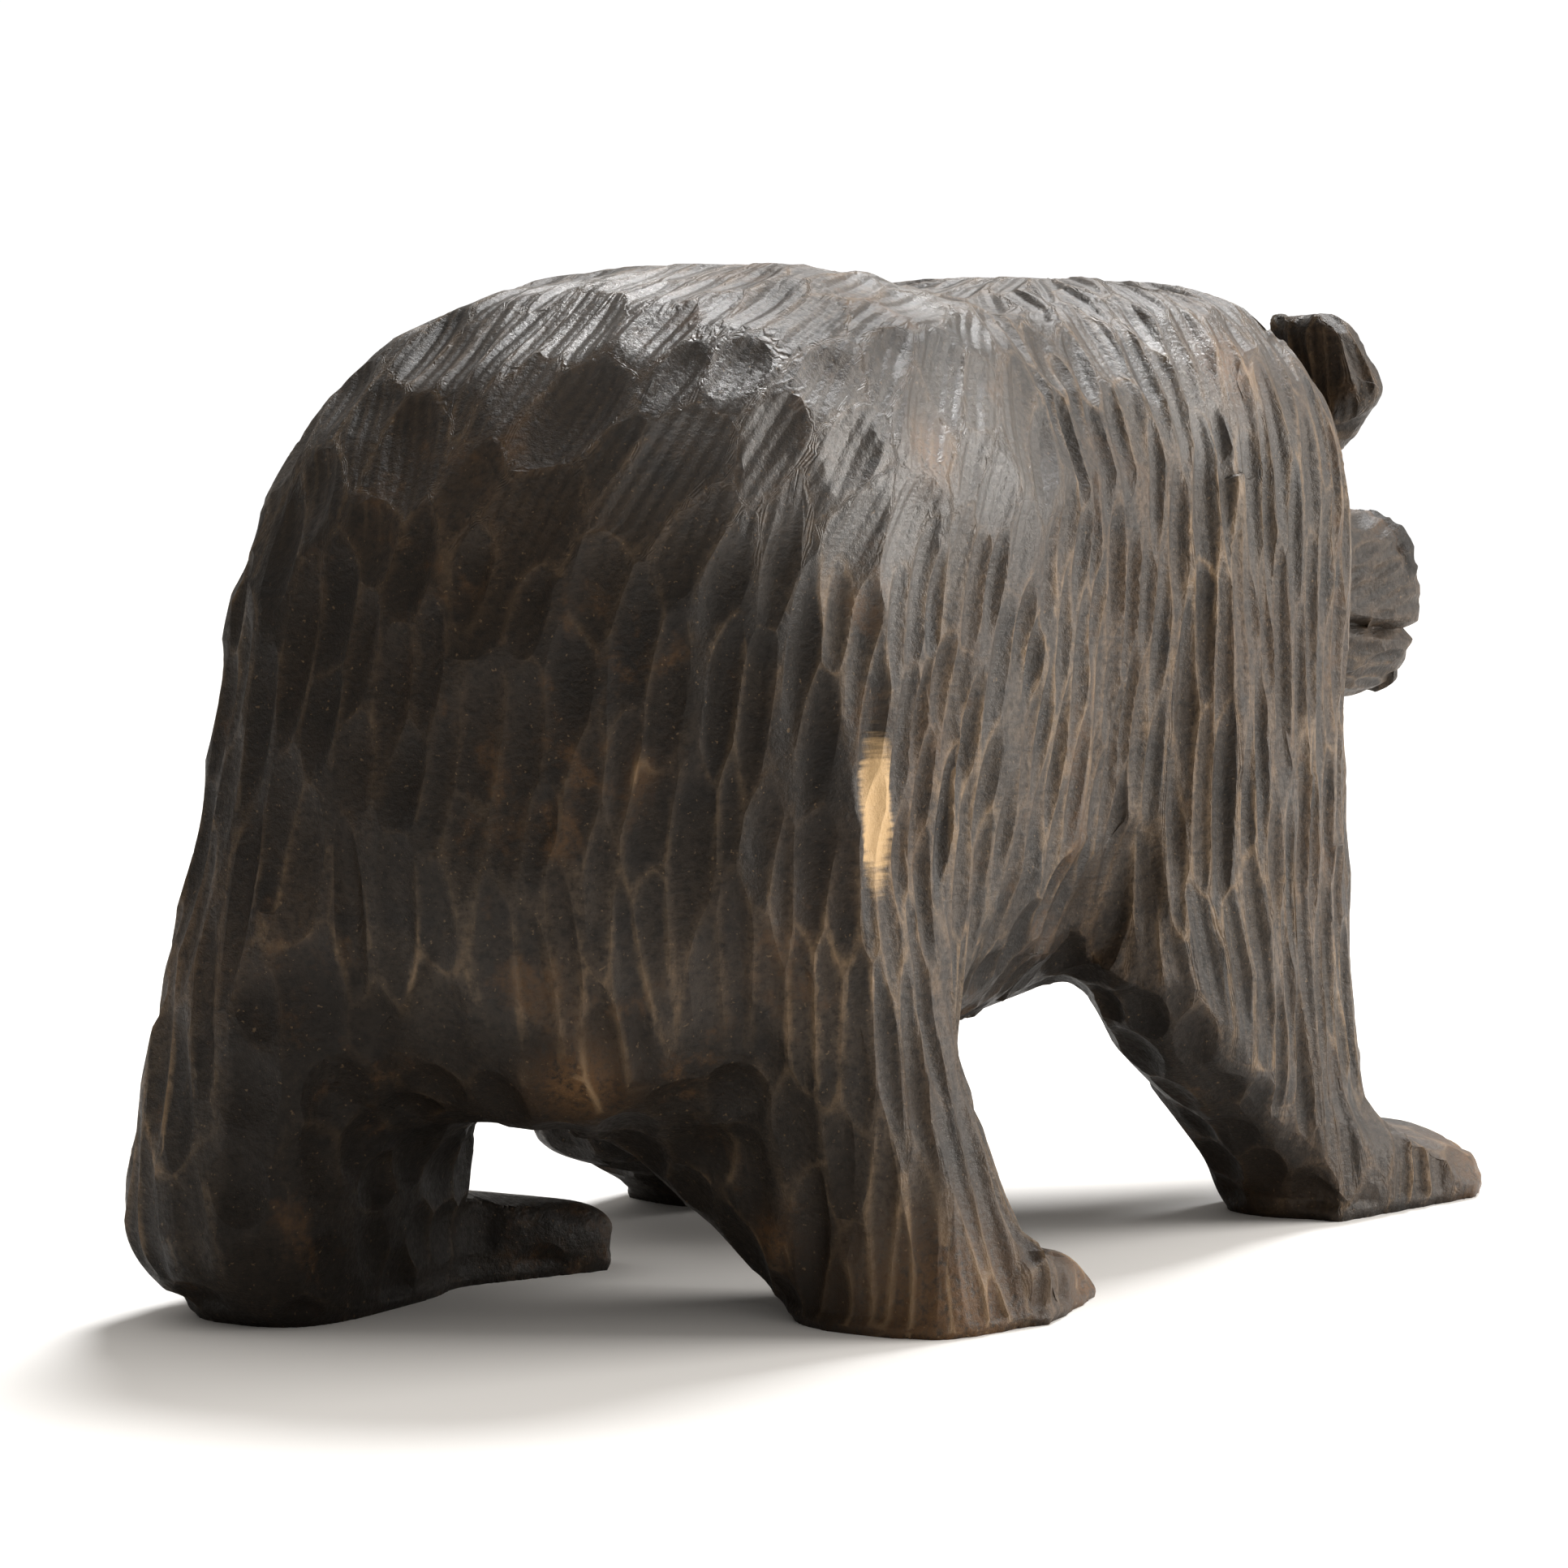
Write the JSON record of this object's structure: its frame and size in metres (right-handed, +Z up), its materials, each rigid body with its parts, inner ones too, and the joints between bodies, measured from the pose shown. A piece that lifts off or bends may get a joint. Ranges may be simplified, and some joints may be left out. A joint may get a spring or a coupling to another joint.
{
  "type": "carved wooden bear",
  "caption": "Dark-stained bear carved from one block of wood, walking with its head turned to its right, gouge cuts all over, flat soles, glass bead eyes.",
  "frame": {"origin": "middle of the bounding box, on the plane of the soles", "axes": "the bear faces -Y, its right side is -X, its left side is +X, +Z up"},
  "size_m": [0.1266, 0.2659, 0.1513],
  "materials": {
    "carved_wood": "black-brown stain over bare gouge cuts, rubbed to brown on the ridges, low sheen",
    "bead_glass": "gloss",
    "pin_wire": "drawn wire"
  },
  "bodies": {
    "root": {"bear_body": "carved_wood", "eye_bead_left": "bead_glass", "eye_bead_right": "bead_glass", "eye_pin_left": "pin_wire", "eye_pin_right": "pin_wire"}
  },
  "joints": []
}
